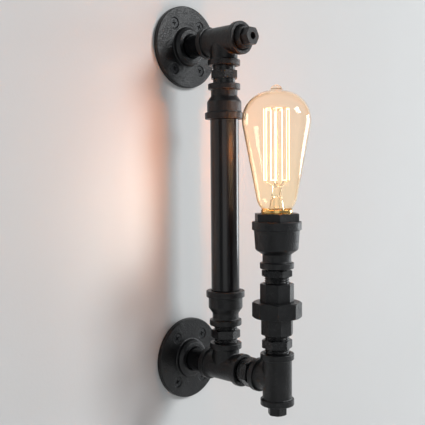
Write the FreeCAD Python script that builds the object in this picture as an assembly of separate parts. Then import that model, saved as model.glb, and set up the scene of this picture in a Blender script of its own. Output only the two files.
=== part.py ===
"""Industrial pipe wall light.

Two wall flanges carry a riser built from pipe fittings.  A union on the lower
arm stands up in front of the riser and carries the lampholder and its bulb.
Millimetres.  X is to the right, Y is into the wall, Z is up.  The origin is the
centre of the lower flange on the wall plane, so the light stands out along -Y.
"""
import FreeCAD, Part
import math
import os

V = FreeCAD.Vector

# ---- where the three axes run ----
RISER_OUT = 53.9          # wall plane to the riser axis
LAMP_OUT = 117.2          # wall plane to the lamp column axis
FLANGE_RISE = 307.1       # lower flange axis to upper flange axis

# ---- half-inch thread shared by the small fittings ----
PIPE_R = 10.67            # bare half-inch pipe
MALE_R = 10.40            # screwed shank inside a fitting
THREAD_GAP = 0.05
FEMALE_R = MALE_R + THREAD_GAP
SHANK = 12.0              # length of a screwed shank
SOCKET = SHANK + 1.0      # depth of a screwed socket
MOUTH_R = 12.2            # lead-in at the mouth of a socket
MOUTH = 1.4
LEAD_IN = 0.6             # eased end of a screwed shank
SEAT_GAP = 0.05           # between faces that meet
OVER = 1.0                # how far a cutting tool runs past a face
BARE_R = 10.35            # root of the thread that stays bare beside a hexagon
WAY_R = 9.2               # clear way through a fitting
NIPPLE_BORE_R = 7.8

# ---- wall flange ----
FLANGE_R = 39.5
FLANGE_T = 4.8
BOSS_R = 18.4
BOSS_FACE_R = 15.8
BOSS_SHOULDER = 8.4
BOSS_H = 11.0
NIPPLE_SHANK = 10.0       # screwed length inside the flange
SCREW_X = 33.4            # screw spacing across
SCREW_Z = 43.2            # screw spacing up
SCREW_R = 2.1             # plain neck under the head
SCREW_THREAD_R = 1.9      # mean of the threaded length behind the wall
SCREW_HEAD_R = 4.6
SCREW_SUNK = 0.9          # head sits this far below the face of the flange
CROSS_LENGTH = 5.0
CROSS_WIDTH = 1.1
CROSS_DEPTH = 1.8
SCREW_SHANK = 20.0        # plain length behind the wall plane
SCREW_TIP = 6.0

# ---- tees and plugs ----
TEE_HALF = 23.3
TEE_RUN_R = 13.1
TEE_BRANCH_R = 12.8
TEE_SEAM = 1.6            # cast hollow between branch and run
SIDE_WAY_R = 8.8          # the way out through the branch of a tee
BAND_R = 15.1
BAND_W = 5.4
EDGE = 0.8                # rounded edge of a cast band
FILLET = 1.2              # hollow where a band meets its body
PLUG_NECK = 5.4
PLUG_NECK_R = 9.5
PLUG_HEX = 15.0
PLUG_HEX_H = 7.6
PLUG_SHANK = 9.0
PLUG_CORE_R = 3.3         # cored hollow in the head
PLUG_CORE = 4.4
PLUG_DEEP = 4.0           # the lower plug is screwed in further

# ---- hexagon nipples ----
NIP_FLATS = 23.7
NIP_HEX_H = 7.4
HEX_EASE = 0.8            # eased corners of a hexagon
NIP_LOW = 4.7
NIP_HIGH = 4.6

# ---- riser ----
SMALL_BELL = 33.0         # length of a riser reducer
SMALL_BELL_R = 16.1
SMALL_BELL_BAND_R = 18.2
SMALL_BELL_BAND_W = 6.1
BELL_NECK_R = 12.4
BELL_NECK_TOP = 11.6
BELL_SHOULDER = 16.8
BELL_ROUND = 3.0
RISER_R = 13.35
RISER_BORE_R = 10.5
RISER_SHANK_R = 13.0
RISER_SHANK = 13.0
RISER_SEAT = 14.0         # depth of the socket that takes the riser

# ---- union ----
UNION_LOW = 15.3          # octagon below the nut
UNION_LOW_FLATS = 26.8
NUT_H = 13.9
NUT_WALL = 2.85           # thinnest metal between the collar and a flat
NUT_EASE = 1.5
UNION_TOP = 16.4          # octagon above the nut
UNION_TOP_FLATS = 27.9
COLLAR_R = 17.6           # screwed collar inside the nut
NUT_GAP = 0.05
HEAD_RIM_GAP = 0.3        # the rim is this much smaller than the collar
HEAD_RIM_H = 4.0
HEAD_NECK_R = 15.05
HEAD_RISE = 0.4           # neck that shows between the nut and the upper octagon
NUT_HOLE_GAP = 0.35
NUT_LIP = 2.2

# ---- lamp cup ----
TOP_NIP_LOW = 6.3
TOP_NIP_HEX = 5.6
TOP_NIP_HIGH = 1.4
CUP_LEN = 41.9
CUP_NECK_R = 12.8
CUP_NECK_TOP = 12.7
CUP_LOW_R = 19.1
CUP_SHOULDER = 17.0
CUP_HIGH_R = 20.3
CUP_BAND_R = 22.0
CUP_BAND_W = 7.4
CUP_BORE_R = 16.45
RING_FLATS = 36.5
RING_H = 7.0
RING_BORE_R = 14.75
RING_SHANK = 6.2
RING_LEAD = 0.8

# ---- lampholder ----
HOLDER_GAP = 0.1          # around and above the ceramic body
HOLDER_H = 18.3
HOLDER_FLOOR = 5.2
WIRE_SEAT = 2.5           # how far a wire enters the ceramic
RIVET_R = 0.87
RIVET_HEAD_R = 1.5
RIVET_HEAD_H = 0.45
CAP_R = 13.20
CAP_GAP = 0.07
SHELL_T = 0.5
SHELL_FLOOR_R = 9.5       # hole in the floor of the shell
TAB_W = 3.4
TONGUE_W = 3.0
TONGUE_T = 0.5
TONGUE_END = 1.8          # how far the tongue runs past its rivet and its contact
WIRE_R = 1.3
WIRE_X = 2.4
WIRE_DROP = 5.3
WIRE_TAIL = 18.0          # supply tails behind the wall plane
CORE_R = 0.6
CORE_BARE = 8.0

# ---- bulb ----
CAP_H = 24.0
CAP_RIM_R = 13.9
CAP_RIM_H = 3.0
CAP_CLEAR = 0.4           # gap between the ring and the rim of the cap
CAP_PITCH = 3.629
CAP_TURNS = 4
CAP_ROOT_R = 12.75
CAP_WALL = 0.35
CAP_FOOT_R = 12.0
BULB_TIP = 2.9            # insulator under the screw cap
CONTACT_R = 4.2
CONTACT_H = 1.0           # solder button under the insulator
CONTACT_PIN_R = 1.95
GLASS_T = 0.9
FOOT_H = 0.05             # where the glass leaves the cap
NECK_R = 18.05            # foot of the straight cone
NECK_H = 9.8
NECK_BEND = 19.05
CROWN_R = 29.93           # head of the straight cone
CROWN_H = 74.0
CROWN_BEND = 25.7
CROWN_TURN = 80.5         # the crown arc ends this far round
TIP_R = 4.7               # drawn tip
TIP_RISE = 2.6
TIP_H = 109.6
GLASS_DEPTH = 6.0         # glass neck inside the cap
CAGE_R = 11.4
CAGE_LOW = 26.0           # above the glass line
CAGE_HIGH = 88.4
STEM_H = 21.0             # top of the glass pinch
STEM_R = 4.2
STEM_FOOT_R = 7.4
STEM_WALL = 0.9
STEM_ROD_R = 1.5
BUTTON_R = 2.8            # glass button that carries the upper hooks
BUTTON_H = 3.0
LEAD_X = 2.9
STRANDS = 14
HOOK_R = 0.3
FILAMENT_R = 0.22

# ---- levels that follow from the sizes above ----
NIP_FREE = NIP_LOW + NIP_HEX_H + NIP_HIGH
BELL_BASE = TEE_HALF + NIP_FREE
RISER_LOW = BELL_BASE + SMALL_BELL
RISER_HIGH = FLANGE_RISE - RISER_LOW
UNION_BASE = TEE_HALF + NIP_FREE
NUT_BASE = UNION_BASE + UNION_LOW
NUT_TOP = NUT_BASE + NUT_H
UNION_FACE = NUT_TOP + UNION_TOP
CUP_BASE = UNION_FACE + TOP_NIP_LOW + TOP_NIP_HEX + TOP_NIP_HIGH
CUP_TOP = CUP_BASE + CUP_LEN
RING_TOP = CUP_TOP + RING_H
LEDGE = CUP_TOP - RING_SHANK - HOLDER_GAP - HOLDER_H
FLOOR = LEDGE + HOLDER_FLOOR
CAP_TOP = RING_TOP + CAP_RIM_H + CAP_CLEAR
CAP_BASE = CAP_TOP - CAP_H
FOOT_BASE = CAP_BASE - BULB_TIP
SHELL_TOP = RING_TOP - CAP_CLEAR
SHELL_R = CAP_R + CAP_GAP
SCREW_HEAD_TOP = FLANGE_T - SCREW_SUNK
NUT_BORE_R = COLLAR_R + NUT_GAP
NUT_FLATS = 2.0 * (NUT_BORE_R + NUT_WALL)
NUT_HOLE_R = HEAD_NECK_R + NUT_HOLE_GAP
RIM_TOP = NUT_TOP - NUT_LIP - SEAT_GAP
UNION_SEAT = RIM_TOP - HEAD_RIM_H
RISER = V(0, -RISER_OUT, 0)
LAMP = V(0, -LAMP_OUT, 0)


# ---------------------------------------------------------------- helpers
def corner(before, here, after):
    """First, middle and last point of a corner; a third number in it is its rounding."""
    place = V(here[0], 0, here[1])
    if len(here) < 3:
        return place, None, place
    back = (V(before[0], 0, before[1]) - place).normalize()
    onward = (V(after[0], 0, after[1]) - place).normalize()
    half = 0.5 * back.getAngle(onward)
    between = (back + onward).normalize()
    reach = here[2] / math.tan(half)
    middle = place + between * (here[2] / math.sin(half) - here[2])
    return place + back * reach, middle, place + onward * reach


def turned(points):
    """A body turned about its own Z axis from (radius, height) or (.., .., rounding) corners."""
    count = len(points)
    ends = [corner(points[i - 1], points[i], points[(i + 1) % count]) for i in range(count)]
    edges = []
    for i, (first, middle, last) in enumerate(ends):
        if middle:
            edges.append(Part.Arc(first, middle, last).toShape())
        onward = ends[(i + 1) % count][0]
        if last.distanceToPoint(onward) > 0.001:
            edges.append(Part.makeLine(last, onward))
    face = Part.Face(Part.Wire(edges))
    return face.revolve(V(0, 0, 0), V(0, 0, 1), 360)


def rod(radius, low, high, x=0.0, y=0.0):
    """An upright cylinder between two heights."""
    return Part.makeCylinder(radius, high - low, V(x, y, low))


def outward(shape, z, out=0.0):
    """Lay a body down so that its own Z points out of the wall, at height z."""
    laid = shape.copy()
    laid.rotate(V(0, 0, 0), V(1, 0, 0), 90)
    laid.translate(V(0, -out, z))
    return laid


def flipped(shape):
    """The same body the other way up."""
    turned_over = shape.copy()
    turned_over.rotate(V(0, 0, 0), V(1, 0, 0), 180)
    return turned_over


def moved(shape, place, z=0.0):
    """A copy of a body at a column axis and a height."""
    copy = shape.copy()
    copy.translate(place + V(0, 0, z))
    return copy


def prism(sides, flats, low, high, corner, ease):
    """A bar with flat sides and eased corners, one corner at the given angle."""
    reach = flats / 2.0 / math.cos(math.pi / sides)
    turns = [math.radians(corner + 360.0 * i / sides) for i in range(sides)]
    loop = [V(reach * math.cos(t), reach * math.sin(t), low) for t in turns]
    bar = Part.Face(Part.makePolygon(loop + [loop[0]])).extrude(V(0, 0, high - low))
    keep = turned([(0, low), (reach - ease, low), (reach, low + 0.6 * ease),
                   (reach, high - 0.6 * ease), (reach - ease, high), (0, high)])
    return bar.common(keep)


def band(face, away):
    """Corners of a cast band, from its open face back to its shoulder."""
    return [(BAND_R, face, EDGE), (BAND_R, face + away * BAND_W, 0.6 * EDGE)]


def screwed_socket(face, away):
    """The hollow of a half-inch socket that opens at one face."""
    deep = face + away * SOCKET
    past = face - away * OVER
    return turned([(0, past), (MOUTH_R + OVER, past), (MOUTH_R, face),
                   (FEMALE_R, face + away * MOUTH), (FEMALE_R, deep), (0, deep)])


# ---------------------------------------------------------------- wall mounting
def screw_places():
    """The four screw centres on a flange."""
    half_x, half_z = SCREW_X / 2.0, SCREW_Z / 2.0
    return [(-half_x, -half_z), (half_x, -half_z), (-half_x, half_z), (half_x, half_z)]


def flange():
    """A round wall plate with a screwed boss and four countersunk holes."""
    body = turned([(FEMALE_R, 0), (FLANGE_R, 0, 0.5), (FLANGE_R, FLANGE_T, 1.0),
                   (BOSS_R, FLANGE_T, 1.5), (BOSS_R, BOSS_SHOULDER, 1.0),
                   (BOSS_FACE_R, BOSS_H, 0.6), (MOUTH_R, BOSS_H), (FEMALE_R, BOSS_H - MOUTH)])
    hole_r = SCREW_R + THREAD_GAP
    head_r = SCREW_HEAD_R + THREAD_GAP
    neck = SCREW_HEAD_TOP - (head_r - hole_r)
    past = FLANGE_T + OVER
    hole = turned([(0, -OVER), (hole_r, -OVER), (hole_r, neck), (head_r, SCREW_HEAD_TOP),
                   (head_r + SCREW_SUNK + OVER, past), (0, past)])
    for x, z in screw_places():
        body = body.cut(moved(hole, V(x, z, 0)))
    return body


def flange_screw(clock):
    """A countersunk wood screw with a cross recess."""
    neck = SCREW_HEAD_TOP - (SCREW_HEAD_R - SCREW_R)
    body = turned([(0, -SCREW_SHANK - SCREW_TIP), (SCREW_THREAD_R, -SCREW_SHANK), (SCREW_THREAD_R, 0),
                   (SCREW_R, 0), (SCREW_R, neck), (SCREW_HEAD_R, SCREW_HEAD_TOP), (0, SCREW_HEAD_TOP)])
    for turn in (0, 90):
        slot = Part.makeBox(CROSS_LENGTH, CROSS_WIDTH, CROSS_DEPTH + OVER,
                            V(-CROSS_LENGTH / 2, -CROSS_WIDTH / 2, SCREW_HEAD_TOP - CROSS_DEPTH))
        slot.rotate(V(0, 0, 0), V(0, 0, 1), turn + clock)
        body = body.cut(slot)
    return body


def flange_screws(z, clocks):
    """The four screws of one flange."""
    screws = [moved(flange_screw(clock), V(x, up, 0))
              for (x, up), clock in zip(screw_places(), clocks)]
    return outward(Part.makeCompound(screws), z)


def wall_nipple(z):
    """The short pipe between a flange and its tee."""
    inner = BOSS_H
    outer = RISER_OUT - TEE_HALF
    step = PIPE_R - MALE_R
    start = BOSS_H - NIPPLE_SHANK
    body = turned([(NIPPLE_BORE_R, start), (MALE_R, start), (MALE_R, inner),
                   (PIPE_R, inner + step), (PIPE_R, outer - step), (MALE_R, outer),
                   (MALE_R, outer + SHANK), (NIPPLE_BORE_R, outer + SHANK)])
    return outward(body, z)


# ---------------------------------------------------------------- fittings
def tee():
    """A banded tee: its run lies along Z and its branch along +Y."""
    face = TEE_HALF
    neck = face - BAND_W
    run = turned([(0, -face)] + band(-face, 1) + [(TEE_RUN_R, -neck, FILLET),
                 (TEE_RUN_R, neck, FILLET)] + band(face, -1)[::-1] + [(0, face)])
    branch = turned([(0, 0), (TEE_BRANCH_R, 0), (TEE_BRANCH_R, neck, FILLET)]
                    + band(face, -1)[::-1] + [(0, face)])
    branch.rotate(V(0, 0, 0), V(1, 0, 0), -90)
    body = run.fuse(branch)
    seam = [e for e in body.Edges if is_tee_seam(e)]
    body = body.makeFillet(TEE_SEAM, seam)
    way = rod(WAY_R, -face, face)
    side = rod(SIDE_WAY_R, 0, face).fuse(screwed_socket(face, -1))
    side.rotate(V(0, 0, 0), V(1, 0, 0), -90)
    hollow = way.fuse([screwed_socket(face, -1), screwed_socket(-face, 1), side])
    return body.cut(hollow)


def is_tee_seam(edge):
    """True for the curve where the branch of a tee meets its run."""
    box = edge.BoundBox
    spread = min(box.XLength, box.YLength, box.ZLength)
    return spread > EDGE / 2 and box.YMax < TEE_RUN_R + EDGE and box.YMin > -EDGE


def hex_nipple(low, hexagon, high, corner):
    """A nipple with a hexagon between two screwed ends, base face at zero."""
    top = low + hexagon + high
    end, step = top + SHANK, MALE_R - BARE_R
    body = turned([(0, -SHANK), (MALE_R - LEAD_IN, -SHANK), (MALE_R, LEAD_IN - SHANK),
                   (MALE_R, 0), (BARE_R, step), (BARE_R, top - step), (MALE_R, top),
                   (MALE_R, end - LEAD_IN), (MALE_R - LEAD_IN, end), (0, end)])
    body = body.fuse(prism(6, NIP_FLATS, low, low + hexagon, corner, HEX_EASE))
    return body.cut(rod(NIPPLE_BORE_R, -SHANK - OVER, end + OVER))


def plug(corner):
    """A plug with a small cored hexagon, fitting face at zero, head upward."""
    body = turned([(0, -PLUG_SHANK), (MALE_R - LEAD_IN, -PLUG_SHANK),
                   (MALE_R, LEAD_IN - PLUG_SHANK), (MALE_R, 0), (PLUG_NECK_R, PLUG_NECK),
                   (0, PLUG_NECK)])
    top = PLUG_NECK + PLUG_HEX_H
    body = body.fuse(prism(6, PLUG_HEX, PLUG_NECK, top, corner, HEX_EASE))
    core = turned([(0, top - PLUG_CORE), (PLUG_CORE_R - LEAD_IN, top - PLUG_CORE),
                   (PLUG_CORE_R, top), (PLUG_CORE_R + OVER, top + OVER), (0, top + OVER)])
    return body.cut(core)


def riser_bell():
    """A bell reducer for the riser, small end down at zero."""
    wide = SMALL_BELL - SMALL_BELL_BAND_W
    body = turned([(0, 0)] + band(0, 1) + [
        (BELL_NECK_R, BAND_W, FILLET), (BELL_NECK_R, BELL_NECK_TOP, BELL_ROUND),
        (SMALL_BELL_R, BELL_SHOULDER, BELL_ROUND), (SMALL_BELL_R, wide, FILLET),
        (SMALL_BELL_BAND_R, wide, 0.6 * EDGE), (SMALL_BELL_BAND_R, SMALL_BELL, EDGE),
        (0, SMALL_BELL)])
    seat = SMALL_BELL - RISER_SEAT
    bore_r = RISER_SHANK_R + THREAD_GAP
    inner_r = bore_r - EDGE
    hollow = turned([(0, 0), (WAY_R, 0), (WAY_R, BELL_NECK_TOP + BELL_ROUND), (inner_r, seat - EDGE),
                     (inner_r, seat), (bore_r, seat), (bore_r, SMALL_BELL - MOUTH),
                     (bore_r + MOUTH, SMALL_BELL), (0, SMALL_BELL)])
    return body.cut(hollow).cut(screwed_socket(0, 1))


def riser_pipe():
    """The plain riser pipe with a screwed length at each end."""
    low, high, step = RISER_LOW, RISER_HIGH, RISER_R - RISER_SHANK_R
    return turned([(RISER_BORE_R, low - RISER_SHANK), (RISER_SHANK_R, low - RISER_SHANK),
                   (RISER_SHANK_R, low), (RISER_R, low + step), (RISER_R, high - step),
                   (RISER_SHANK_R, high), (RISER_SHANK_R, high + RISER_SHANK),
                   (RISER_BORE_R, high + RISER_SHANK)])


# ---------------------------------------------------------------- union
def union_tail():
    """The lower half of the union: an octagon with a screwed collar above it."""
    shoulder = NUT_BASE + EDGE
    body = prism(8, UNION_LOW_FLATS, UNION_BASE, shoulder, 8.4, HEX_EASE)
    body = body.fuse(rod(COLLAR_R, shoulder, UNION_SEAT - SEAT_GAP))
    body = body.cut(rod(WAY_R, UNION_BASE, UNION_SEAT))
    return body.cut(screwed_socket(UNION_BASE, 1))


def union_head():
    """The upper half of the union: a rim held by the nut under an octagon."""
    foot = NUT_TOP + HEAD_RISE
    body = rod(COLLAR_R - HEAD_RIM_GAP, UNION_SEAT, RIM_TOP).fuse(rod(HEAD_NECK_R, UNION_SEAT, foot))
    body = body.fuse(prism(8, UNION_TOP_FLATS, foot, UNION_FACE, -1.0, HEX_EASE))
    body = body.cut(rod(WAY_R, UNION_SEAT, UNION_FACE))
    return body.cut(screwed_socket(UNION_FACE, -1))


def union_nut():
    """The octagon nut that draws the two halves together."""
    body = prism(8, NUT_FLATS, NUT_BASE, NUT_TOP, -3.0, NUT_EASE)
    mouth_r = NUT_BORE_R + EDGE
    hollow = turned([(0, NUT_BASE - OVER), (mouth_r + OVER, NUT_BASE - OVER), (mouth_r, NUT_BASE),
                     (NUT_BORE_R, NUT_BASE + EDGE), (NUT_BORE_R, NUT_TOP - NUT_LIP),
                     (NUT_HOLE_R, NUT_TOP - NUT_LIP), (NUT_HOLE_R, NUT_TOP + OVER),
                     (0, NUT_TOP + OVER)])
    return body.cut(hollow)


# ---------------------------------------------------------------- lamp cup
def lamp_cup():
    """The large bell reducer that holds the lampholder, small end at zero."""
    wide = CUP_LEN - CUP_BAND_W
    body = turned([(0, 0)] + band(0, 1) + [
        (CUP_NECK_R, BAND_W, FILLET), (CUP_NECK_R, CUP_NECK_TOP, FILLET),
        (CUP_LOW_R, CUP_SHOULDER, 2 * FILLET), (CUP_HIGH_R, wide, FILLET),
        (CUP_BAND_R, wide, 0.6 * EDGE), (CUP_BAND_R, CUP_LEN, EDGE), (0, CUP_LEN)])
    ledge = LEDGE - CUP_BASE
    hollow = rod(WAY_R, 0, ledge).fuse(rod(CUP_BORE_R, ledge, CUP_LEN))
    return body.cut(hollow).cut(screwed_socket(0, 1))


def lamp_ring():
    """The hexagon bushing screwed into the mouth of the cup."""
    low = CUP_TOP - RING_SHANK
    body = prism(6, RING_FLATS, CUP_TOP, RING_TOP, -12.2, HEX_EASE)
    body = body.fuse(rod(CUP_BORE_R - THREAD_GAP, low, CUP_TOP))
    mouth = turned([(0, low - OVER), (RING_BORE_R, low - OVER), (RING_BORE_R, RING_TOP - RING_LEAD),
                    (RING_BORE_R + RING_LEAD, RING_TOP),
                    (RING_BORE_R + RING_LEAD, RING_TOP + OVER), (0, RING_TOP + OVER)])
    return body.cut(mouth)


# ---------------------------------------------------------------- lampholder
def holder_body():
    """The ceramic body: a pocket for the screw shell over a thick floor."""
    top = LEDGE + HOLDER_H
    body = rod(CUP_BORE_R - HOLDER_GAP, LEDGE, top)
    body = body.cut(rod(SHELL_R + SHELL_T + SEAT_GAP, FLOOR, top + OVER))
    for x in (-WIRE_X, WIRE_X):
        body = body.cut(rod(WIRE_R + HOLDER_GAP, LEDGE - OVER, LEDGE + WIRE_SEAT, x, -WIRE_DROP))
        body = body.cut(rod(RIVET_R + SEAT_GAP, LEDGE, FLOOR + OVER, x, -WIRE_DROP))
    return body


def screw_shell():
    """The brass screw shell with a tab to the neutral rivet."""
    tube = rod(SHELL_R + SHELL_T, FLOOR, SHELL_TOP).cut(rod(SHELL_R, FLOOR + SHELL_T, SHELL_TOP))
    tube = tube.cut(rod(SHELL_FLOOR_R, FLOOR - OVER, FLOOR + OVER))
    start, end = OVER - SHELL_R, TONGUE_END - WIRE_DROP
    tab = Part.makeBox(TAB_W, end - start, SHELL_T, V(WIRE_X - TAB_W / 2, start, FLOOR))
    return tube.fuse(tab).cut(rivet_hole(WIRE_X))


def rivet_hole(x):
    """The hole that a rivet passes through above the ceramic floor."""
    return rod(RIVET_R + SEAT_GAP, FLOOR - OVER, FLOOR + OVER, x, -WIRE_DROP)


def centre_tongue():
    """The sprung strip that touches the middle of the bulb cap."""
    reach = math.hypot(WIRE_X, WIRE_DROP)
    rise = FOOT_BASE - CONTACT_H - SEAT_GAP - FLOOR
    side = [(-TONGUE_END, 0), (TONGUE_END + TONGUE_T, 0),
            (reach - TONGUE_END + TONGUE_T, rise - TONGUE_T),
            (reach + TONGUE_END, rise - TONGUE_T), (reach + TONGUE_END, rise),
            (reach - TONGUE_END, rise), (TONGUE_END, TONGUE_T), (-TONGUE_END, TONGUE_T)]
    loop = [V(along, -TONGUE_W / 2.0, FLOOR + up) for along, up in side]
    strip = Part.Face(Part.makePolygon(loop + [loop[0]])).extrude(V(0, TONGUE_W, 0))
    strip.rotate(V(0, 0, 0), V(0, 0, 1), math.degrees(math.atan2(WIRE_DROP, WIRE_X)))
    strip.translate(V(-WIRE_X, -WIRE_DROP, 0))
    return strip.cut(rivet_hole(-WIRE_X))


def terminal_rivets():
    """The two rivets that join the wires to the tongue and the shell."""
    foot, seat = LEDGE + WIRE_SEAT + SEAT_GAP, FLOOR + SHELL_T
    top = seat + RIVET_HEAD_H
    pin = turned([(0, foot), (RIVET_R, foot), (RIVET_R, seat), (RIVET_HEAD_R, seat),
                  (RIVET_HEAD_R, top, 0.3), (0, top)])
    pins = [moved(pin, V(x, -WIRE_DROP, 0)) for x in (-WIRE_X, WIRE_X)]
    return moved(Part.makeCompound(pins), LAMP)


# ---------------------------------------------------------------- wiring
def wire_path(x):
    """Centre line of one wire: along the arm, one wide bend, up the column."""
    bend = TEE_HALF - SHANK + WIRE_DROP
    low = V(x, -LAMP_OUT - WIRE_DROP + bend, -WIRE_DROP)
    high = V(x, -LAMP_OUT - WIRE_DROP, bend - WIRE_DROP)
    far = bend * (1.0 - math.sqrt(0.5))
    middle = V(x, high.y + far, low.z + far)
    start = V(x, WIRE_TAIL, -WIRE_DROP)
    end = V(x, -LAMP_OUT - WIRE_DROP, LEDGE + WIRE_SEAT)
    arc = Part.Arc(low, middle, high).toShape()
    return Part.Wire([Part.makeLine(start, low), arc, Part.makeLine(high, end)])


def wire(x):
    """One insulated wire, whole from the wall to the lampholder."""
    ring = Part.makeCircle(WIRE_R, V(x, WIRE_TAIL, -WIRE_DROP), V(0, 1, 0))
    return wire_path(x).makePipeShell([Part.Wire([ring])], True, True)


def supply_cores():
    """The bare copper ends of the supply tails."""
    cores = [Part.makeCylinder(CORE_R, CORE_BARE, V(x, WIRE_TAIL, -WIRE_DROP), V(0, 1, 0))
             for x in (-WIRE_X, WIRE_X)]
    return Part.makeCompound(cores)


# ---------------------------------------------------------------- bulb
def arc_points(centre, radius, start, end):
    """Start, middle and end of an arc in the (radius, height) plane, in degrees."""
    turns = [math.radians(t) for t in (start, 0.5 * (start + end), end)]
    return [V(centre[0] + radius * math.cos(t), 0, centre[1] + radius * math.sin(t))
            for t in turns]


def pear_side(wall):
    """The side of the bulb as a neck arc, a straight cone and a crown arc."""
    slope = math.degrees(math.atan2(CROWN_H - NECK_H, CROWN_R - NECK_R))
    along = V(math.cos(math.radians(slope)), 0, math.sin(math.radians(slope)))
    inward = V(-along.z, 0, along.x)
    neck_c = V(NECK_R, 0, NECK_H) + inward * NECK_BEND
    crown_c = V(CROWN_R, 0, CROWN_H) + inward * CROWN_BEND
    foot = math.degrees(math.asin((FOOT_H - neck_c.z) / (NECK_BEND - wall)))
    neck = arc_points((neck_c.x, neck_c.z), NECK_BEND - wall, foot, slope - 90.0)
    crown = arc_points((crown_c.x, crown_c.z), CROWN_BEND - wall, slope - 90.0, CROWN_TURN)
    return neck, crown


def bulb_glass():
    """The blown envelope: a long pear with a drawn tip, seated in the cap."""
    neck, crown = pear_side(0.0)
    neck_in, crown_in = pear_side(GLASS_T)
    tip_bend = (TIP_R ** 2 + TIP_RISE ** 2) / (2 * TIP_RISE)
    tip_c = V(0, 0, TIP_H - tip_bend)
    tip_turn = math.degrees(math.acos(TIP_R / tip_bend))
    tip = arc_points((tip_c.x, tip_c.z), tip_bend, tip_turn, 90.0)
    rise = (crown[2] + tip[0]) * 0.5 - V(0.27, 0, 0.17) * TIP_RISE
    peak = V(0, 0, crown_in[2].z)
    foot_out, foot_in = V(neck[0].x, 0, -GLASS_DEPTH), V(neck_in[0].x, 0, -GLASS_DEPTH)
    edges = [Part.makeLine(foot_out, neck[0]), Part.Arc(*neck).toShape(),
             Part.makeLine(neck[2], crown[0]), Part.Arc(*crown).toShape(),
             Part.Arc(crown[2], rise, tip[0]).toShape(),
             Part.Arc(*tip).toShape(), Part.makeLine(tip[2], peak),
             Part.makeLine(peak, crown_in[2]), Part.Arc(*crown_in).toShape(),
             Part.makeLine(crown_in[0], neck_in[2]), Part.Arc(*neck_in).toShape(),
             Part.makeLine(neck_in[0], foot_in), Part.makeLine(foot_in, foot_out)]
    face = Part.Face(Part.Wire(edges))
    return moved(face.revolve(V(0, 0, 0), V(0, 0, 1), 360), LAMP, CAP_TOP)


def bulb_cap():
    """The screw cap with rolled thread grooves and a flared rim."""
    inner_r = CAP_ROOT_R - CAP_WALL
    outline = [(inner_r, CAP_BASE), (CAP_ROOT_R, CAP_BASE)]
    level = CAP_BASE + CAP_WALL
    for _ in range(CAP_TURNS):
        outline += [(CAP_R, level, 0.4), (CAP_R, level + 0.5 * CAP_PITCH, 0.4),
                    (CAP_ROOT_R, level + 0.75 * CAP_PITCH, 0.4)]
        level += CAP_PITCH
    rim, seat, bore_r = CAP_TOP - CAP_RIM_H, CAP_TOP - GLASS_DEPTH - CAP_WALL, glass_neck_r()
    outline += [(CAP_R, level), (CAP_R, rim), (CAP_RIM_R, rim + CAP_CLEAR), (CAP_RIM_R, CAP_TOP, 0.3),
                (bore_r, CAP_TOP), (bore_r, seat), (inner_r, seat)]
    return moved(turned(outline), LAMP)


def glass_neck_r():
    """The inside of the cap where the glass neck is cemented."""
    return pear_side(0.0)[0][0].x + SEAT_GAP


def bulb_insulator():
    """The black glass disc that closes the foot of the cap."""
    hole_r, rim_r, top = CONTACT_PIN_R + SEAT_GAP, CAP_ROOT_R - CAP_WALL - SEAT_GAP, CAP_BASE + OVER
    body = turned([(hole_r, FOOT_BASE), (CONTACT_R, FOOT_BASE, 0.3),
                   (0.7 * rim_r, FOOT_BASE + 0.4 * BULB_TIP, 2.0), (rim_r, CAP_BASE, 0.3),
                   (rim_r, top), (hole_r, top)])
    return moved(body, LAMP)


def bulb_contact():
    """The solder button in the middle of the foot."""
    tip, seat = FOOT_BASE - CONTACT_H, FOOT_BASE - SEAT_GAP
    body = turned([(0, tip), (0.6 * CONTACT_R, tip, 1.0), (0.9 * CONTACT_R, seat, 0.1),
                   (CONTACT_PIN_R, seat), (CONTACT_PIN_R, CAP_BASE), (0, CAP_BASE)])
    return moved(body, LAMP)


def glass_stem():
    """The flared glass mount with its pinch and the long middle rod."""
    flare_r, foot = pear_side(GLASS_T)[0][0].x - SEAT_GAP, STEM_WALL - GLASS_DEPTH
    knob, top = CAGE_HIGH - 0.5 * BUTTON_H, CAGE_HIGH + 0.5 * BUTTON_H
    waist, pinch = 0.5 * (STEM_R + STEM_FOOT_R), 0.7 * STEM_H
    body = turned([(flare_r, foot - STEM_WALL), (flare_r, foot), (STEM_FOOT_R, 0.5 * foot, 2.0),
                   (waist, 0.5 * pinch, 8.0), (STEM_R, pinch, 6.0), (STEM_R, STEM_H + 1.5, 1.4),
                   (STEM_ROD_R, STEM_H + 2.0, 0.4), (STEM_ROD_R, knob, 0.4),
                   (BUTTON_R, knob, 1.1), (BUTTON_R, top, 1.3), (0, top), (0, pinch - 2.0),
                   (STEM_R - STEM_WALL, pinch - 4.0), (waist - STEM_WALL, 0.5 * pinch),
                   (STEM_FOOT_R - STEM_WALL, 0.5 * foot),
                   (flare_r - STEM_WALL, foot - STEM_WALL)])
    return moved(body, LAMP, CAP_TOP).cut(lead_wires())


def lead_wires():
    """The two leads from the cap, through the pinch, to the ends of the filament."""
    leads = []
    for i in (0, STRANDS - 1):
        end = cage_point(i, CAP_TOP + CAGE_LOW - FILAMENT_R)
        side = math.copysign(LEAD_X, end.y)
        start = V(0, side, CAP_BASE + CAP_PITCH)
        bend = V(0, side, CAP_TOP + STEM_H - 2.0)
        knee = V(0.75 * end.x, 0.5 * (side + end.y), bend.z + 0.45 * (end.z - bend.z))
        ring = Part.makeCircle(HOOK_R, start, V(0, 0, 1))
        path = Part.makePolygon([start, bend, knee, end])
        leads.append(path.makePipeShell([Part.Wire([ring])], True, True, 1))
    return moved(Part.makeCompound(leads), LAMP)


def cage_angle(i):
    """Direction of one filament strand round the cage."""
    return 2.0 * math.pi * (i + 0.5) / STRANDS


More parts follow.
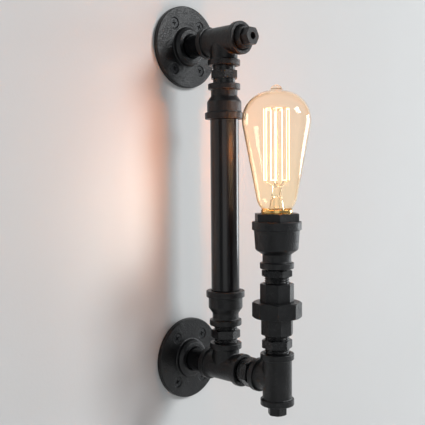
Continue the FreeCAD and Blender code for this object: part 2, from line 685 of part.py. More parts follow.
def cage_point(i, h):
    """A corner of the filament at one strand and height."""
    t = cage_angle(i)
    return V(CAGE_R * math.cos(t), CAGE_R * math.sin(t), h)


def hooks(links, hub_h, hub_r, link_h):
    """A star of support wires from a glass hub out to links of the filament."""
    arms = []
    reach = CAGE_R * math.cos(math.pi / STRANDS)
    for i in links:
        t = cage_angle(i + 0.5)
        along = V(math.cos(t), math.sin(t), 0)
        start = along * hub_r + V(0, 0, hub_h)
        span = along * reach + V(0, 0, link_h) - start
        arms.append(Part.makeCylinder(HOOK_R, span.Length, start, span))
    return moved(Part.makeCompound(arms), LAMP, CAP_TOP)


def filament():
    """The squirrel-cage filament: one long wire up and down the cage."""
    corners = []
    for i in range(STRANDS):
        ends = (CAGE_LOW, CAGE_HIGH) if i % 2 == 0 else (CAGE_HIGH, CAGE_LOW)
        corners += [cage_point(i, h) for h in ends]
    path = Part.makePolygon(corners)
    ring = Part.makeCircle(FILAMENT_R, corners[0], V(0, 0, 1))
    body = path.makePipeShell([Part.Wire([ring])], True, True, 1)
    return moved(body, LAMP, CAP_TOP)


# ---------------------------------------------------------------- assembly
def build():
    """Every piece of the light in place, by name."""
    one_tee = tee()
    low_tee = outward(one_tee, 0, RISER_OUT)
    high_tee = one_tee.copy()
    high_tee.rotate(V(0, 0, 0), V(1, 0, 0), -90)
    high_tee.translate(V(0, -RISER_OUT, FLANGE_RISE))
    riser_nipple = hex_nipple(NIP_LOW, NIP_HEX_H, NIP_HIGH, 13.7)
    arm_free = LAMP_OUT - RISER_OUT - 2 * TEE_HALF - NIP_LOW - NIP_HEX_H
    bell = riser_bell()
    arm_start = RISER_OUT + TEE_HALF
    lamp_nipple = hex_nipple(NIP_LOW, NIP_HEX_H, NIP_HIGH, 19.8)
    arm_nipple = hex_nipple(NIP_LOW, NIP_HEX_H, arm_free, 18.0)
    cup_nipple = hex_nipple(TOP_NIP_LOW, TOP_NIP_HEX, TOP_NIP_HIGH, 0.0)
    touch = FILAMENT_R + HOOK_R + SEAT_GAP
    under, over = CAGE_LOW - touch, CAGE_HIGH + touch
    return {
        "lower_flange": outward(flange(), 0),
        "upper_flange": outward(flange(), FLANGE_RISE),
        "lower_flange_screws": flange_screws(0, (20, -12, 35, 8)),
        "upper_flange_screws": flange_screws(FLANGE_RISE, (15, 28, 5, -20)),
        "lower_wall_nipple": wall_nipple(0),
        "upper_wall_nipple": wall_nipple(FLANGE_RISE),
        "lower_tee": low_tee,
        "upper_tee": high_tee,
        "upper_plug": outward(plug(0.0), FLANGE_RISE, RISER_OUT + TEE_HALF),
        "lower_hex_nipple": moved(riser_nipple, RISER, TEE_HALF),
        "upper_hex_nipple": moved(flipped(riser_nipple), RISER, FLANGE_RISE - TEE_HALF),
        "lower_reducer": moved(bell, RISER, BELL_BASE),
        "upper_reducer": moved(flipped(bell), RISER, FLANGE_RISE - BELL_BASE),
        "riser_pipe": moved(riser_pipe(), RISER),
        "arm_hex_nipple": outward(arm_nipple, 0, arm_start),
        "lamp_tee": moved(one_tee, LAMP),
        "lower_plug": moved(flipped(plug(8.0)), LAMP, PLUG_DEEP - TEE_HALF),
        "union_hex_nipple": moved(lamp_nipple, LAMP, TEE_HALF),
        "union_tail": moved(union_tail(), LAMP),
        "union_nut": moved(union_nut(), LAMP),
        "union_head": moved(union_head(), LAMP),
        "cup_hex_nipple": moved(cup_nipple, LAMP, UNION_FACE),
        "lamp_cup": moved(lamp_cup(), LAMP, CUP_BASE),
        "lamp_ring": moved(lamp_ring(), LAMP),
        "holder_body": moved(holder_body(), LAMP),
        "screw_shell": moved(screw_shell(), LAMP),
        "centre_tongue": moved(centre_tongue(), LAMP),
        "terminal_rivets": terminal_rivets(),
        "live_wire": wire(-WIRE_X),
        "neutral_wire": wire(WIRE_X),
        "supply_cores": supply_cores(),
        "bulb_cap": bulb_cap(),
        "bulb_insulator": bulb_insulator(),
        "bulb_contact": bulb_contact(),
        "bulb_glass": bulb_glass(),
        "glass_stem": glass_stem(),
        "lead_wires": lead_wires(),
        "upper_hooks": hooks(range(0, STRANDS, 2), over, BUTTON_R + SEAT_GAP, over),
        "lower_hooks": hooks(range(1, STRANDS - 1, 2), STEM_H, STEM_R + HOOK_R, under),
        "filament": filament(),
    }


os.makedirs("parts", exist_ok=True)
for name, shape in build().items():
    shape.exportStep("parts/" + name + ".step")
    print(name, len(shape.Solids), round(shape.Volume / 1000.0, 3), "cm3", shape.isValid())
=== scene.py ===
# %% [markdown]
# # A pipe wall light, dressed for its photograph
#
# This notebook takes a finished, measured model of a wall light made from black pipe
# fittings and gives it its looks: threads, glass, paint, brass, light and a camera.
# It is meant to be read from top to bottom, one cell at a time.
#
# **What you learn here**
#
# 1. how to place a camera from numbers that were solved from a photograph,
# 2. how to write shader maths as plain arithmetic with one small class,
# 3. how to build a helical thread and a blown glass bulb as meshes,
# 4. how to light a dark, satin object in front of a pale wall.
#
# All lengths are in metres. +Z is up, +X is to the right and +Y points into the wall.

# %%
import math

import bmesh
import bpy
from mathutils import Matrix, Vector


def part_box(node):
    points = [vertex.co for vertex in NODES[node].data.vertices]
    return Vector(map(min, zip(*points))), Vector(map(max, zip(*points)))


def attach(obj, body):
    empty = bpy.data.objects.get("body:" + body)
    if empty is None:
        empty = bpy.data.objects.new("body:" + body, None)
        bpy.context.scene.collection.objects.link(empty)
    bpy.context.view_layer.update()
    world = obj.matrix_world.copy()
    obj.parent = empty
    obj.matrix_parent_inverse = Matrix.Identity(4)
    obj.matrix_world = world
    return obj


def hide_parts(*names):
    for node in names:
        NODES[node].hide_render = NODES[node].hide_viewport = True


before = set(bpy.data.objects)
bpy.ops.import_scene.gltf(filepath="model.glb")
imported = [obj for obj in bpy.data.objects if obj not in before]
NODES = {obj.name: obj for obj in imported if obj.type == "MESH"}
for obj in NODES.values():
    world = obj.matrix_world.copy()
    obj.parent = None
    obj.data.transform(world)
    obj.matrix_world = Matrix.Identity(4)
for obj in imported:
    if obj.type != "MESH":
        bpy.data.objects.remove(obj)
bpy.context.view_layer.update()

# %% [markdown]
# ## 1. The view settings
#
# The Standard transform shows colours as they are written, which makes it possible to
# compare a render with a photograph number by number.

# %%
SCENE = bpy.context.scene
SCENE.view_settings.view_transform = "Standard"
print("view transform:", SCENE.view_settings.view_transform)

# %% [markdown]
# ## 2. The camera
#
# A pinhole camera has a place, three directions and a focal length. They were solved
# from the outlines of the fittings, whose real sizes are known. A camera looks along its
# own -Z, so the columns of its matrix are *right*, *up* and *back*.

# %%
IMAGE_WIDTH = 425
FOCAL_PIXELS = 746.61
SENSOR = 36.0
CAMERA_PLACE = Vector((-0.508617, -0.540314, 0.182537))
CAMERA_RIGHT = Vector((0.70283762, -0.71131121, -0.00745959))
CAMERA_UP = Vector((0.04139907, 0.03043265, 0.99867911))
CAMERA_BACK = Vector((-0.71014463, -0.70221807, 0.05083683))
NEAREST, FARTHEST = 0.01, 30.0


def place_camera():
    """The photograph's camera, as a matrix of three directions and a place."""
    data = bpy.data.cameras.new("photo_camera")
    data.sensor_width = SENSOR
    data.lens = FOCAL_PIXELS / IMAGE_WIDTH * SENSOR
    data.clip_start, data.clip_end = NEAREST, FARTHEST
    camera = bpy.data.objects.new("photo_camera", data)
    SCENE.collection.objects.link(camera)
    turn = Matrix((CAMERA_RIGHT, CAMERA_UP, CAMERA_BACK)).transposed()
    camera.matrix_world = Matrix.Translation(CAMERA_PLACE) @ turn.to_4x4()
    SCENE.camera = camera
    return camera


camera = place_camera()
print("lens %.2f mm" % camera.data.lens)

# %% [markdown]
# ## 3. Shader maths as arithmetic
#
# A *finish* is a material and its node tree. Its one method `node` makes every node:
# first the type, then its settings, then its sockets, which take numbers or links.
#
# A `Shade` is a value that changes over the surface. It is a socket that knows
# arithmetic, so `0.4 + 0.1 * grain` builds two Math nodes. Colours are blended with
# `mix`. Numbers that don't change are worked out in Python and set on the socket.

# %%
class Shade:
    """A socket with arithmetic: each operator adds one Math node to its tree."""

    def __init__(self, finish, socket):
        self.finish = finish
        self.socket = socket

    def combine(self, operation, *others):
        """A Math node with this value and the others as its inputs."""
        maths = self.finish.node("ShaderNodeMath", {"operation": operation},
                                 dict(enumerate((self, *others))))
        return Shade(self.finish, maths.outputs[0])

    def __add__(self, other):
        return self.combine("ADD", other)

    __radd__ = __add__

    def __mul__(self, other):
        return self.combine("MULTIPLY", other)

    __rmul__ = __mul__

    def above(self, low, high):
        """Zero below the first level, one above the second, smooth between them."""
        spread = self.finish.node("ShaderNodeMapRange", {"interpolation_type": "SMOOTHSTEP"},
                                  {"Value": self, "From Min": low, "From Max": high})
        return Shade(self.finish, spread.outputs[0])

    def mix(self, low, high):
        """A colour that goes from the first to the second as this value goes from 0 to 1."""
        blend = self.finish.node("ShaderNodeMix", {"data_type": "RGBA"},
                                 {0: self, 6: colour(low), 7: colour(high)})
        return Shade(self.finish, blend.outputs[2])


def colour(value):
    """Three numbers get an alpha of one; a Shade stays as it is."""
    return value if isinstance(value, Shade) else (*value, 1.0)


class Finish:
    """A material, made with one node method."""

    def __init__(self, name):
        self.material = bpy.data.materials.new(name)
        self.material.use_nodes = True
        self.tree = self.material.node_tree
        self.tree.nodes.clear()
        self.place = self.node("ShaderNodeTexCoord").outputs["Object"]

    def node(self, kind, settings=None, sockets=None):
        """Makes a node, sets it up, then fills or links its sockets."""
        made = self.tree.nodes.new(kind)
        for name, value in (settings or {}).items():
            setattr(made, name, value)
        for name, value in (sockets or {}).items():
            if isinstance(value, Shade):
                value = value.socket
            if isinstance(value, bpy.types.NodeSocket):
                self.tree.links.new(value, made.inputs[name])
            else:
                made.inputs[name].default_value = value
        return made

    def stretched(self, along):
        """The place on the object, stretched or squeezed along each axis."""
        mapped = self.node("ShaderNodeMapping", {"vector_type": "POINT"},
                           {"Vector": self.place, "Scale": along})
        return mapped.outputs[0]

    def noise(self, size, detail=3.0, rough=0.5, along=(1, 1, 1), warp=0.0):
        """Cloudy variation whose blotches are about one size across."""
        cloud = self.node("ShaderNodeTexNoise", {}, {
            "Vector": self.stretched(along), "Scale": 1.0 / size, "Detail": detail,
            "Roughness": rough, "Distortion": warp})
        return Shade(self, cloud.outputs[0])

    def pits(self, size):
        """Small round pits, one where each cell has its middle."""
        cells = self.node("ShaderNodeTexVoronoi", {"feature": "F1"},
                          {"Vector": self.place, "Scale": 1.0 / size})
        return Shade(self, cells.outputs["Distance"])

    def bump(self, height, depth):
        """A normal from a height, where a height of one stands for this many metres."""
        raised = self.node("ShaderNodeBump", {}, {"Height": height, "Distance": depth,
                                                  "Strength": 1.0})
        return raised.outputs[0]

    def surface(self, **sockets):
        """Ends the tree in a Principled surface; names use _ for a space."""
        named = {key.replace("_", " ").title().replace("Ior", "IOR"): value
                 for key, value in sockets.items()}
        shader = self.node("ShaderNodeBsdfPrincipled", {}, named)
        self.node("ShaderNodeOutputMaterial", {}, {"Surface": shader.outputs[0]})
        return self.material


print("shader helpers are ready")

# %% [markdown]
# ## 4. The black iron
#
# Malleable castings leave a sand mould with a pebbly skin, and a satin black paint
# softens it. Cut threads and hexagons are smoother, with the paint worn a little
# thinner. A drawn pipe is the smoothest and keeps faint lines along its length.

# %%
PAINT = (0.0050, 0.0052, 0.0060)
PAINT_DUSTY = (0.0095, 0.0097, 0.0108)
PAINT_RUBBED = (0.021, 0.021, 0.0215)
FITTING_GLOSS = 0.42
PIPE_GLOSS = 0.5


def cast_paint():
    """Satin paint over the pebbly skin of a sand casting."""
    made = Finish("cast_paint")
    pebbles = made.noise(0.0016, 4.0, 0.58)
    swell = made.noise(0.0085, 2.0, 0.5, warp=0.3)
    patches = made.noise(0.021, 3.0, 0.6)
    grit = made.pits(0.0021).above(0.06, 0.34)
    dusty = patches.above(0.42, 0.68).mix(PAINT, PAINT_DUSTY)
    worn = (pebbles * swell).above(0.33, 0.42).mix(dusty, PAINT_RUBBED)
    height = 0.62 * pebbles + 0.9 * swell + 0.16 * grit
    return made.surface(base_color=worn, roughness=0.25 + 0.16 * patches + 0.05 * pebbles,
                        normal=made.bump(height, 0.00062), specular_ior_level=FITTING_GLOSS)


def pipe_paint():
    """Satin paint over drawn pipe, with faint lines along its length."""
    made = Finish("pipe_paint")
    lines = made.noise(0.0012, 3.0, 0.5, along=(1.0, 1.0, 0.035))
    skin = made.noise(0.0011, 3.0, 0.55)
    swell = made.noise(0.016, 2.0, 0.5)
    patches = made.noise(0.034, 3.0, 0.6)
    tint = patches.above(0.44, 0.7).mix(PAINT, PAINT_DUSTY)
    height = 0.5 * lines + 0.34 * skin + 0.8 * swell
    return made.surface(base_color=tint, roughness=0.13 + 0.07 * patches + 0.03 * skin,
                        normal=made.bump(height, 0.00005), specular_ior_level=PIPE_GLOSS)


def cut_paint():
    """Thin paint over cut threads and hexagons."""
    made = Finish("cut_paint")
    scores = made.noise(0.0009, 3.0, 0.6)
    patches = made.noise(0.0055, 3.0, 0.6)
    tint = patches.above(0.46, 0.66).mix(PAINT, PAINT_RUBBED)
    return made.surface(base_color=tint, roughness=0.20 + 0.16 * patches,
                        normal=made.bump(0.6 * scores + 0.4 * patches, 0.00014),
                        specular_ior_level=FITTING_GLOSS)


def screw_black():
    """Blackened steel with rubbed spots from the driver."""
    made = Finish("screw_black")
    spots = made.noise(0.0016, 3.0, 0.6)
    tint = spots.above(0.5, 0.7).mix((0.02, 0.021, 0.023), (0.075, 0.075, 0.078))
    return made.surface(base_color=tint, roughness=0.3 + 0.16 * spots, metallic=0.35,
                        normal=made.bump(spots, 0.00008))


CAST, PIPE, CUT, SCREW = cast_paint(), pipe_paint(), cut_paint(), screw_black()
print("iron finishes:", CAST.name, PIPE.name, CUT.name, SCREW.name)

# %% [markdown]
# ## 5. The lampholder, the cap and the wires
#
# Most of these pieces sit inside the cup, but a lamp that is taken apart shows them.

# %%
def ceramic():
    """Unglazed white ceramic with fine specks."""
    made = Finish("holder_ceramic")
    specks = made.pits(0.0011).above(0.0, 0.16)
    cloud = made.noise(0.006, 3.0, 0.6)
    tint = specks.mix((0.52, 0.47, 0.39), cloud.mix((0.74, 0.71, 0.64), (0.83, 0.81, 0.75)))
    return made.surface(base_color=tint, roughness=0.58 + 0.2 * cloud,
                        normal=made.bump(made.noise(0.0007), 0.00007))


def sheet_metal(name, bright, dull, smooth):
    """Rolled or drawn metal with a tarnish that follows its handling."""
    made = Finish(name)
    tarnish = made.noise(0.0042, 4.0, 0.62)
    scratches = made.noise(0.0007, 2.0, 0.5, along=(1.0, 1.0, 0.12))
    return made.surface(base_color=tarnish.above(0.4, 0.72).mix(bright, dull), metallic=1.0,
                        roughness=smooth + 0.18 * tarnish,
                        normal=made.bump(0.5 * scratches + 0.5 * tarnish, 0.00005))


def sleeve(name, tone, shade):
    """The plastic insulation of a wire."""
    made = Finish(name)
    marks = made.noise(0.0021, 2.0, 0.5)
    return made.surface(base_color=marks.mix(tone, shade), roughness=0.36 + 0.14 * marks,
                        normal=made.bump(marks, 0.00005))


def black_glass():
    """The vitrite disc under the cap."""
    made = Finish("cap_insulator")
    swirl = made.noise(0.002, 3.0, 0.6, warp=1.0)
    return made.surface(base_color=swirl.mix((0.008, 0.008, 0.01), (0.03, 0.028, 0.034)),
                        roughness=0.1 + 0.12 * swirl, normal=made.bump(swirl, 0.00006))


HOLDER = ceramic()
BRASS = sheet_metal("holder_brass", (0.80, 0.60, 0.27), (0.50, 0.33, 0.14), 0.24)
CAP = sheet_metal("cap_brass", (0.92, 0.63, 0.24), (0.70, 0.42, 0.13), 0.17)
COPPER = sheet_metal("copper", (0.90, 0.48, 0.28), (0.52, 0.22, 0.11), 0.24)
SOLDER = sheet_metal("solder", (0.66, 0.66, 0.64), (0.42, 0.42, 0.42), 0.33)
WIRE = sheet_metal("support_wire", (0.56, 0.53, 0.49), (0.30, 0.28, 0.26), 0.24)
BROWN = sleeve("live_insulation", (0.30, 0.13, 0.055), (0.20, 0.08, 0.03))
BLUE = sleeve("neutral_insulation", (0.07, 0.20, 0.52), (0.04, 0.13, 0.38))
DISC = black_glass()
print("lampholder finishes are ready")

# %% [markdown]
# ## 6. Glass and the lit filament
#
# The amber of the bulb sits in the glass itself, and it is deepest at the rim, where the
# eye looks along the wall of the glass. All of the glass carries a faint painted glow, an
# emission that stands in for the lamp's light in it, yellower at the foot than at the crown.
# The filament's threads are bright enough to turn nearly white.

# %%
FOOT_HEIGHT, CROWN_HEIGHT = 0.150, 0.262
RIM_START, RIM_END = 0.25, 0.95
AMBER_BEND, CLEAR_BEND = 1.3, 1.45
# The glass's glow is painted light; the filament's glow is the lamp.
PAINTED_GLASS_GLOW, FILAMENT_GLOW = 0.035, 4.0


def amber_glass():
    """Clear amber glass with a faint painted glow."""
    made = Finish("amber_glass")
    height = made.node("ShaderNodeSeparateXYZ", {}, {0: made.place}).outputs[2]
    level = Shade(made, height).above(FOOT_HEIGHT, CROWN_HEIGHT)
    ripple = made.noise(0.014, 2.0, 0.5)
    weight = made.node("ShaderNodeLayerWeight", {}, {"Blend": 0.35}).outputs["Facing"]
    rim = Shade(made, weight).above(RIM_START, RIM_END)
    tint = rim.mix(level.mix((1.0, 0.92, 0.78), (1.0, 0.90, 0.79)), (1.0, 0.68, 0.38))
    # Painted glow: a faint warm emission over all of the glass, yellower at the foot than at the
    # crown.
    glow = level.mix((1.0, 0.66, 0.30), (1.0, 0.66, 0.42))
    return made.surface(base_color=tint, roughness=0.01 + 0.012 * ripple, ior=AMBER_BEND,
                        transmission_weight=1.0, emission_color=glow,
                        emission_strength=PAINTED_GLASS_GLOW, normal=made.bump(ripple, 0.00008))


def clear_glass():
    """The clear stem that carries the wires, with pressing marks."""
    made = Finish("clear_glass")
    ripple = made.noise(0.004, 2.0, 0.5)
    tint = ripple.mix((0.97, 0.93, 0.84), (1.0, 0.98, 0.92))
    return made.surface(base_color=tint, roughness=0.02 + 0.03 * ripple, ior=CLEAR_BEND,
                        transmission_weight=1.0, normal=made.bump(ripple, 0.0001))


def lit_thread():
    """The glowing thread of the filament, a little hotter in some places."""
    made = Finish("filament")
    flicker = made.noise(0.004, 2.0, 0.5)
    heat = flicker.mix((1.0, 0.80, 0.48), (1.0, 0.86, 0.58))
    return made.surface(base_color=(0.30, 0.16, 0.07, 1.0), roughness=0.5 + 0.2 * flicker,
                        emission_color=heat, emission_strength=FILAMENT_GLOW)


AMBER, CLEAR, LIT = amber_glass(), clear_glass(), lit_thread()
print("glass finishes are ready")

# %% [markdown]
# ## 7. Every node gets its finish
#
# The castings, pipes and cut pieces share one slot of the record, black iron, but each
# kind has its own skin.

# %%
FINISHES = {
    "lower_flange upper_flange lower_tee upper_tee lamp_tee lower_reducer upper_reducer"
    " upper_plug lower_plug union_tail union_nut union_head lamp_cup lamp_ring": CAST,
    "lower_wall_nipple upper_wall_nipple riser_pipe": PIPE,
    "lower_hex_nipple upper_hex_nipple arm_hex_nipple union_hex_nipple cup_hex_nipple": CUT,
    "lower_flange_screws upper_flange_screws": SCREW,
    "holder_body": HOLDER,
    "screw_shell centre_tongue terminal_rivets": BRASS,
    "live_wire": BROWN,
    "neutral_wire": BLUE,
    "supply_cores": COPPER,
    "bulb_cap": CAP,
    "bulb_insulator": DISC,
    "bulb_contact": SOLDER,
    "bulb_glass": AMBER,
    "glass_stem": CLEAR,
    "lead_wires upper_hooks lower_hooks": WIRE,
    "filament": LIT,
}

for names, finish in FINISHES.items():
    for name in names.split():
        for place in NODES[name].material_slots:
            place.material = finish
print("dressed nodes:", sum(len(names.split()) for names in FINISHES))

# %% [markdown]
# ## 8. Mesh helpers
#
# Each new piece is a mesh that rides on a body of the frame and takes the finish that it
# is given.

# %%
MERGE_DISTANCE = 1e-6


def piece(name, points, faces, finish, body):
    """A smooth mesh object that moves with a body."""
    mesh = bpy.data.meshes.new(name)
    mesh.from_pydata(points, [], faces)
    shape = bmesh.new()
    shape.from_mesh(mesh)
    bmesh.ops.remove_doubles(shape, verts=shape.verts, dist=MERGE_DISTANCE)
    bmesh.ops.dissolve_degenerate(shape, dist=MERGE_DISTANCE, edges=shape.edges)
    bmesh.ops.recalc_face_normals(shape, faces=shape.faces)
    for face in shape.faces:
        face.smooth = True
    shape.to_mesh(mesh)
    shape.free()
    mesh.materials.append(finish)
    made = bpy.data.objects.new(name, mesh)
    SCENE.collection.objects.link(made)
    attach(made, body)
    return made


def lathe(profile, turns, place):
    """Points and faces of an outline of (radius, height) turned about an axis."""
    points, rings = [], []
    for radius, height in profile:
        rings.append([])
        for step in range(turns):
            angle = 2 * math.pi * step / turns
            spot = Vector((radius * math.cos(angle), radius * math.sin(angle), height))
            rings[-1].append(len(points))
            points.append(place @ spot)
    faces = []
    for low, high in zip(rings, rings[1:]):
        for step in range(turns):
            after = (step + 1) % turns
            faces.append((low[step], low[after], high[after], high[step]))
    return points, faces


print("mesh helpers are ready")

# %% [markdown]
# ## 9. The threads
#
# A taper pipe thread of this size has fourteen turns to the inch. Each bare stretch
# between a fitting and a hexagon gets a real helix: the rows of the mesh climb by one
# pitch in each turn, and the last column of a row meets the first column of the row one
# pitch above it. Rows that would pass an end of the stretch are held at that end.

# %%
THREAD_PITCH = 0.0254 / 14
THREAD_ROOT = 0.01038
THREAD_CREST = 0.01102
# The share of the thread's height at each row of one pitch: a flat root, flanks, a crest.
THREAD_ROWS = (0.0, 0.0, 0.35, 0.85, 1.0, 1.0, 0.6, 0.15)
THREAD_COLUMNS = 72


def axis_of(node):
    """The middle of a node's box, which is on its axis where the piece is round."""
    low, high = (Vector(corner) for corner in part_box(node))
    return (low + high) / 2


RISER = axis_of("riser_pipe")
LAMP = axis_of("lamp_cup")
TEE_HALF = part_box("lower_tee")[1][2]
UPRIGHT = Matrix.Identity(4)
OUTWARD = Matrix.Rotation(math.pi / 2, 4, "X")
DOWNWARD = Matrix.Rotation(math.pi, 4, "X")


def thread(name, place, length):
    """A helical thread on one bare stretch, starting at the place's origin."""
    rows = len(THREAD_ROWS)
    count = int(length / THREAD_PITCH * rows) + 3 * rows
    points = []
    for row in range(-rows, count):
        for column in range(THREAD_COLUMNS):
            part = column / THREAD_COLUMNS
            height = (row / rows + part) * THREAD_PITCH - THREAD_PITCH / 2
            inside = 0.0 < height < length
            share = THREAD_ROWS[row % rows] if inside else 0.0
            radius = THREAD_ROOT + share * (THREAD_CREST - THREAD_ROOT)
            spot = Vector((radius * math.cos(2 * math.pi * part),
                           radius * math.sin(2 * math.pi * part),
                           min(max(height, 0.0), length)))
            points.append(place @ spot)
    faces = []
    for row in range(count):
        for column in range(THREAD_COLUMNS):
            here = row * THREAD_COLUMNS + column
            if column < THREAD_COLUMNS - 1:
                right = here + 1
            else:
                right = (row + rows) * THREAD_COLUMNS
            above, corner = here + THREAD_COLUMNS, right + THREAD_COLUMNS
            if corner < len(points):
                faces.append((here, right, corner, above))
    return piece(name, points, faces, CUT, "fitting")


# %% [markdown]
# The hexagon nipples come in two sizes: one between the tees, bells and union, and a
# slimmer one under the cup. Each leaves a bare stretch on either side of its hexagon.
# The lower, arm, union and cup nipples start from the face of the fitting before them.
# The upper nipple starts from the middle of the upper tee's box, less half the length of
# a tee. That lies 4.1 mm under the tee's face, so its two threads sit that much too low.

# %%
NIPPLE_LOW, NIPPLE_HEX, NIPPLE_HIGH = 0.0047, 0.0074, 0.0046
CUP_LOW, CUP_HEX, CUP_HIGH = 0.0063, 0.0056, 0.0014
UPPER_TEE_MIDDLE = axis_of("upper_tee").z
UNION_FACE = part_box("union_head")[1][2]


def nipple_threads(name, place, low, hexagon, high):
    """The two bare stretches of one nipple."""
    start = place @ Matrix.Translation((0, 0, low + hexagon))
    return [thread(name + "_thread_a", place, low), thread(name + "_thread_b", start, high)]


def at(x, y, z, turn=UPRIGHT):
    """A place with its own axis direction."""
    return Matrix.Translation((x, y, z)) @ turn


SIZE = (NIPPLE_LOW, NIPPLE_HEX, NIPPLE_HIGH)
CUP_SIZE = (CUP_LOW, CUP_HEX, CUP_HIGH)
ARM_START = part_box("lower_tee")[0][1]
threads = [
    *nipple_threads("lower_nipple", at(0, RISER.y, TEE_HALF), *SIZE),
    *nipple_threads("upper_nipple", at(0, RISER.y, UPPER_TEE_MIDDLE - TEE_HALF, DOWNWARD), *SIZE),
    *nipple_threads("arm_nipple", at(0, ARM_START, 0, OUTWARD), *SIZE),
    *nipple_threads("union_nipple", at(0, LAMP.y, TEE_HALF), *SIZE),
    *nipple_threads("cup_nipple", at(0, LAMP.y, UNION_FACE), *CUP_SIZE),
]
print("threads:", len(threads))

# %% [markdown]
# ## 10. The bulb
#
# The side of the envelope is a neck arc, a straight cone and a crown arc. The inner
# wall is the same line moved inward by the thickness of the glass. A hollow sweep leads
# to the drawn tip, where the bulb was closed after its air was drawn out.

# %%
GLASS_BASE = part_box("bulb_cap")[1][2]
GLASS_WALL = 0.0009
GLASS_DEPTH = 0.006
NECK, NECK_BEND = (0.01805, 0.0098), 0.01905
CROWN, CROWN_BEND = (0.02993, 0.0740), 0.0257
CROWN_TURN = math.radians(80.5)
FOOT_LEVEL = 0.00005
TIP_R, TIP_RISE, TIP_TOP = 0.0047, 0.0026, 0.1096
SWEEP_IN, SWEEP_DOWN = 0.27 * TIP_RISE, 0.17 * TIP_RISE
NECK_STEPS, CROWN_STEPS, SWEEP_STEPS, TIP_STEPS, PEAK_STEPS = 14, 40, 8, 9, 4
BULB_TURNS = 128


def arc(centre, radius, start, end, steps):
    """Points on an arc in the (radius, height) plane."""
    turns = [start + (end - start) * step / steps for step in range(steps + 1)]
    return [(centre[0] + radius * math.cos(t), centre[1] + radius * math.sin(t)) for t in turns]


def pear_side(wall):
    """The side of the bulb, foot first, with its wall moved inward."""
    slope = math.atan2(CROWN[1] - NECK[1], CROWN[0] - NECK[0])
    inward = (-math.sin(slope), math.cos(slope))
    neck_c = [p + d * NECK_BEND for p, d in zip(NECK, inward)]
    crown_c = [p + d * CROWN_BEND for p, d in zip(CROWN, inward)]
    foot = math.asin((FOOT_LEVEL - neck_c[1]) / (NECK_BEND - wall))
    neck = arc(neck_c, NECK_BEND - wall, foot, slope - math.pi / 2, NECK_STEPS)
    crown = arc(crown_c, CROWN_BEND - wall, slope - math.pi / 2, CROWN_TURN, CROWN_STEPS)
    return neck + crown


def drawn_tip(start):
    """From the crown up a hollow sweep, a parabola, and over the rounded tip."""
    foot = (TIP_R, TIP_TOP - TIP_RISE)
    middle = ((start[0] + foot[0]) / 2 - SWEEP_IN, (start[1] + foot[1]) / 2 - SWEEP_DOWN)
    sweep = []
    for step in range(1, SWEEP_STEPS):
        t = step / SWEEP_STEPS
        first, second, third = (1 - t) * (1 - 2 * t), 4 * t * (1 - t), t * (2 * t - 1)
        sweep.append(tuple(first * p + second * q + third * r
                           for p, q, r in zip(start, middle, foot)))
    bend = (TIP_R ** 2 + TIP_RISE ** 2) / (2 * TIP_RISE)
    turn = math.acos(TIP_R / bend)
    return sweep + arc((0.0, TIP_TOP - bend), bend, turn, math.pi / 2, TIP_STEPS)


def bulb_envelope():
    """The blown glass with its inner and outer wall, closed at the foot."""
    outer, inner = pear_side(0.0), pear_side(GLASS_WALL)
    peak = inner[-1][1]
    foot_out, foot_in = (outer[0][0], -GLASS_DEPTH), (inner[0][0], -GLASS_DEPTH)
    inside = [(inner[-1][0] * k / PEAK_STEPS, peak) for k in range(PEAK_STEPS)] + inner[::-1]
    profile = [foot_out] + outer + drawn_tip(outer[-1]) + inside + [foot_in, foot_out]
    points, faces = lathe(profile, BULB_TURNS, at(0, LAMP.y, GLASS_BASE))
    made = piece("bulb_envelope", points, faces, AMBER, "bulb")
    made.visible_shadow = False
    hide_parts("bulb_glass")
    return made


envelope = bulb_envelope()
print("bulb points:", len(envelope.data.vertices))

# %% [markdown]
# ## 11. The room
#
# A painted wall carries the light, and a pale floor lies well below it. The wall has
# one face: seen from behind it is clear, so that the back of the flanges can be looked
# at. Neither is part of the object.

# %%
FLOOR_LEVEL = -0.36
WALL_CLEAR = 0.0004


def wall_paint():
    """Eggshell paint over plaster, clear from behind."""
    made = Finish("wall_paint")
    cloud = made.noise(0.22, 3.0, 0.5)
    skin = made.noise(0.0024, 3.0, 0.55)
    tint = cloud.mix((0.655, 0.655, 0.65), (0.705, 0.708, 0.708))
    shader = made.node("ShaderNodeBsdfPrincipled", {}, {
        "Base Color": tint, "Roughness": 0.72 + 0.1 * cloud,
        "Normal": made.bump(skin, 0.00006)})
    behind = made.node("ShaderNodeNewGeometry").outputs["Backfacing"]
    clear = made.node("ShaderNodeBsdfTransparent")
    both = made.node("ShaderNodeMixShader", {}, {0: behind, 1: shader.outputs[0],
                                                 2: clear.outputs[0]})
    made.node("ShaderNodeOutputMaterial", {}, {"Surface": both.outputs[0]})
    return made.material


def floor_paint():
    """A pale matt floor."""
    made = Finish("floor_paint")
    cloud = made.noise(0.3, 3.0, 0.5)
    return made.surface(base_color=cloud.mix((0.62, 0.62, 0.61), (0.68, 0.68, 0.675)),
                        roughness=0.7 + 0.15 * cloud)


def sheet(name, corners, finish):
    """A flat stage piece from its four corners, its face turned by their order."""
    mesh = bpy.data.meshes.new(name)
    mesh.from_pydata(corners, [], [(0, 1, 2, 3)])
    mesh.materials.append(finish)
    made = bpy.data.objects.new(name, mesh)
    SCENE.collection.objects.link(made)
    return made


HALF_WALL, WALL_TOP, FLOOR_FRONT = 1.7, 1.5, -2.6
wall_corners = [(side * HALF_WALL, WALL_CLEAR, level) for side, level in
                ((-1, FLOOR_LEVEL), (1, FLOOR_LEVEL), (1, WALL_TOP), (-1, WALL_TOP))]
floor_corners = [(side * 2 * HALF_WALL, depth, FLOOR_LEVEL) for side, depth in
                 ((-1, FLOOR_FRONT), (1, FLOOR_FRONT), (1, -FLOOR_FRONT), (-1, -FLOOR_FRONT))]
wall = sheet("wall", wall_corners, wall_paint())
floor = sheet("floor", floor_corners, floor_paint())
print("stage:", wall.name, floor.name)

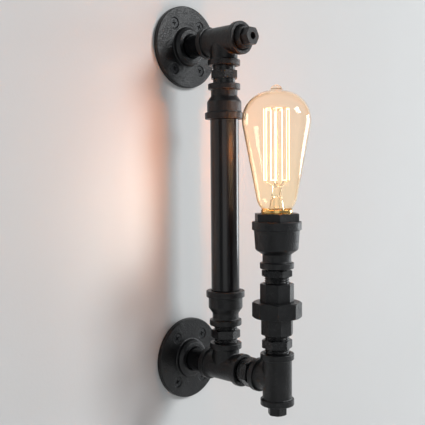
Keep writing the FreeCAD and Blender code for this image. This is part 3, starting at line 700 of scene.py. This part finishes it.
# %% [markdown]
# ## 12. The light
#
# One soft key lamp hangs in front and to the right, where the photograph's highlights
# come from. A side lamp brightens the faces that look to the right, and a wide, weak
# fill lamp on the left lightens the shadow of the lower flange. The world gives the
# rest, and the lit bulb warms the wall behind it.

# %%
AIM = Vector((0.0, -0.06, 0.15))
BULB_LIGHT_RADIUS = 0.008
SKY_TONE = (0.90, 0.95, 1.0, 1.0)


def soft_lamp(name, place, size, power, tone):
    """A square area lamp that looks at the middle of the light."""
    data = bpy.data.lights.new(name, "AREA")
    data.shape = "SQUARE"
    data.size, data.energy, data.color = size, power, tone
    made = bpy.data.objects.new(name, data)
    SCENE.collection.objects.link(made)
    look = AIM - Vector(place)
    made.rotation_euler = look.to_track_quat("-Z", "Y").to_euler()
    made.location = place
    return made


def bulb_light(power, tone):
    """The light of the filament, as a small warm ball inside its cage."""
    data = bpy.data.lights.new("bulb_light", "POINT")
    data.energy, data.color, data.shadow_soft_size = power, tone, BULB_LIGHT_RADIUS
    made = bpy.data.objects.new("bulb_light", data)
    SCENE.collection.objects.link(made)
    made.location = (0, LAMP.y, axis_of("filament").z)
    made.visible_camera = made.visible_transmission = False
    return made


def sky(light, level):
    """An even world: one strength for what is lit, another for what is looked at."""
    world = bpy.data.worlds.new("studio")
    world.use_nodes = True
    tree = world.node_tree
    tree.nodes.clear()
    path = tree.nodes.new("ShaderNodeLightPath")
    seen = tree.nodes.new("ShaderNodeMath")
    seen.operation = "MAXIMUM"
    tree.links.new(path.outputs["Is Camera Ray"], seen.inputs[0])
    tree.links.new(path.outputs["Is Transmission Ray"], seen.inputs[1])
    lit, looked = (tree.nodes.new("ShaderNodeBackground") for _ in range(2))
    lit.inputs[0].default_value = SKY_TONE
    lit.inputs[1].default_value = light
    looked.inputs[0].default_value = (level, level, level, 1.0)
    looked.inputs[1].default_value = 1.0
    both = tree.nodes.new("ShaderNodeMixShader")
    tree.links.new(seen.outputs[0], both.inputs[0])
    tree.links.new(lit.outputs[0], both.inputs[1])
    tree.links.new(looked.outputs[0], both.inputs[2])
    out = tree.nodes.new("ShaderNodeOutputWorld")
    tree.links.new(both.outputs[0], out.inputs[0])
    SCENE.world = world
    return world


key = soft_lamp("key_lamp", place=(1.79, -3.04, 1.92), size=1.25, power=99.0,
                tone=(0.97, 0.99, 1.0))
side = soft_lamp("side_lamp", place=(2.3, -0.55, 0.25), size=0.8, power=16.0,
                 tone=(0.93, 0.97, 1.0))
fill = soft_lamp("fill_lamp", place=(-1.4, -1.35, 0.35), size=1.2, power=3.2,
                 tone=(0.98, 0.99, 1.0))
glow = bulb_light(power=0.40, tone=(1.0, 0.26, 0.03))
studio = sky(light=0.15, level=0.80)
print("lamps:", key.name, side.name, fill.name, glow.name)
